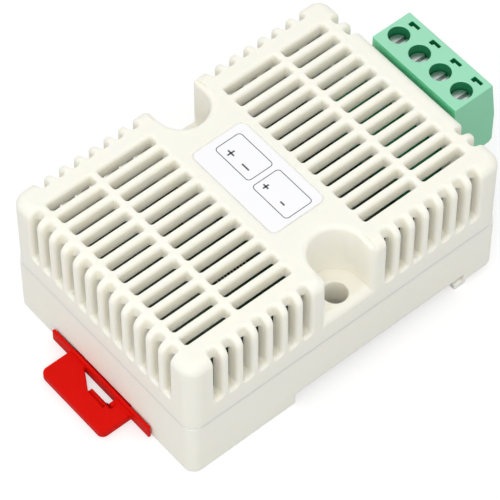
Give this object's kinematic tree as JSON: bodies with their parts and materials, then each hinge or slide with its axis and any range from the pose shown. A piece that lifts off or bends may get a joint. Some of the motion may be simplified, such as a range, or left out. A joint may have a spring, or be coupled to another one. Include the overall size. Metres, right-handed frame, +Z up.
{
  "type": "temperature humidity sensor",
  "caption": "Vented ivory rail-mount temperature and humidity transmitter with a sliding red rail clip, screw recesses in both sides and a green pluggable screw terminal.",
  "frame": {"origin": "on the rail seat plane, midway between the two mounting screw holes", "axes": "+X along the housing to the wire terminal, +Y across it, +Z up, away from the rail, along the mounting screws"},
  "size_m": [0.0816, 0.045, 0.0285],
  "materials": {
    "ivory_abs": "fine matte moulded ABS",
    "red_nylon": "smooth moulded nylon",
    "green_nylon": "satin moulded nylon",
    "label_film": "white self-adhesive film, printed grey outlines",
    "board_laminate": "green solder mask on glass-epoxy laminate",
    "zinc_steel": "zinc-plated steel",
    "tinned_brass": "tin-plated brass",
    "black_epoxy": "matte moulding compound",
    "ferrite": "dark sintered ferrite",
    "can_aluminium": "drawn aluminium can",
    "capacitor_ceramic": "fired tan ceramic"
  },
  "bodies": {
    "housing": {"top_cover": "ivory_abs", "base": "ivory_abs", "label": "label_film", "terminal_header": "green_nylon", "board": "board_laminate", "header_pins": "tinned_brass", "controller_chip": "black_epoxy", "bus_chip": "black_epoxy", "converter_chip": "black_epoxy", "chip_leads": "tinned_brass", "inductor": "ferrite", "capacitor_can": "can_aluminium", "capacitor_base": "black_epoxy", "protection_diode": "black_epoxy", "sensor_chip": "black_epoxy", "chip_resistors": "black_epoxy", "ceramic_capacitors": "capacitor_ceramic"},
    "rail_clip": {"din_clip": "red_nylon", "clip_spring_arms": "red_nylon"},
    "plug": {"terminal_plug": "green_nylon", "plug_contacts": "tinned_brass"},
    "screw_1": {"clamp_screw_1": "zinc_steel"},
    "cage_1": {"clamp_cage_1": "zinc_steel"},
    "screw_2": {"clamp_screw_2": "zinc_steel"},
    "cage_2": {"clamp_cage_2": "zinc_steel"},
    "screw_3": {"clamp_screw_3": "zinc_steel"},
    "cage_3": {"clamp_cage_3": "zinc_steel"},
    "screw_4": {"clamp_screw_4": "zinc_steel"},
    "cage_4": {"clamp_cage_4": "zinc_steel"}
  },
  "joints": [
    {"name": "clip_slide", "type": "slide", "parent": "housing", "child": "rail_clip", "axis": [-1, 0, 0], "range_m": [0, 0.004], "stiffness_N_per_m": 1200, "deforming": ["clip_spring_arms"]},
    {"name": "plug_slide", "type": "slide", "parent": "housing", "child": "plug", "axis": [1, 0, 0], "range_m": [0, 0.007]},
    {"name": "clamp_screw_1_turn", "type": "hinge", "parent": "plug", "child": "screw_1", "pos_m": [0.0367, 0.00762, 0.02115], "axis": [0, 0, -1], "range_deg": [0, 1440]},
    {"name": "clamp_cage_1_rise", "type": "slide", "parent": "plug", "child": "cage_1", "axis": [0, 0, 1], "range_m": [0, 0.002]},
    {"name": "clamp_screw_2_turn", "type": "hinge", "parent": "plug", "child": "screw_2", "pos_m": [0.0367, 0.00254, 0.02115], "axis": [0, 0, -1], "range_deg": [0, 1440]},
    {"name": "clamp_cage_2_rise", "type": "slide", "parent": "plug", "child": "cage_2", "axis": [0, 0, 1], "range_m": [0, 0.002]},
    {"name": "clamp_screw_3_turn", "type": "hinge", "parent": "plug", "child": "screw_3", "pos_m": [0.0367, -0.00254, 0.02115], "axis": [0, 0, -1], "range_deg": [0, 1440]},
    {"name": "clamp_cage_3_rise", "type": "slide", "parent": "plug", "child": "cage_3", "axis": [0, 0, 1], "range_m": [0, 0.002]},
    {"name": "clamp_screw_4_turn", "type": "hinge", "parent": "plug", "child": "screw_4", "pos_m": [0.0367, -0.00762, 0.02115], "axis": [0, 0, -1], "range_deg": [0, 1440]},
    {"name": "clamp_cage_4_rise", "type": "slide", "parent": "plug", "child": "cage_4", "axis": [0, 0, 1], "range_m": [0, 0.002]}
  ],
  "couplings": [
    {"joint": "clamp_screw_1_turn", "follows": "clamp_cage_1_rise", "rad_per_m": 12566},
    {"joint": "clamp_screw_2_turn", "follows": "clamp_cage_2_rise", "rad_per_m": 12566},
    {"joint": "clamp_screw_3_turn", "follows": "clamp_cage_3_rise", "rad_per_m": 12566},
    {"joint": "clamp_screw_4_turn", "follows": "clamp_cage_4_rise", "rad_per_m": 12566}
  ]
}
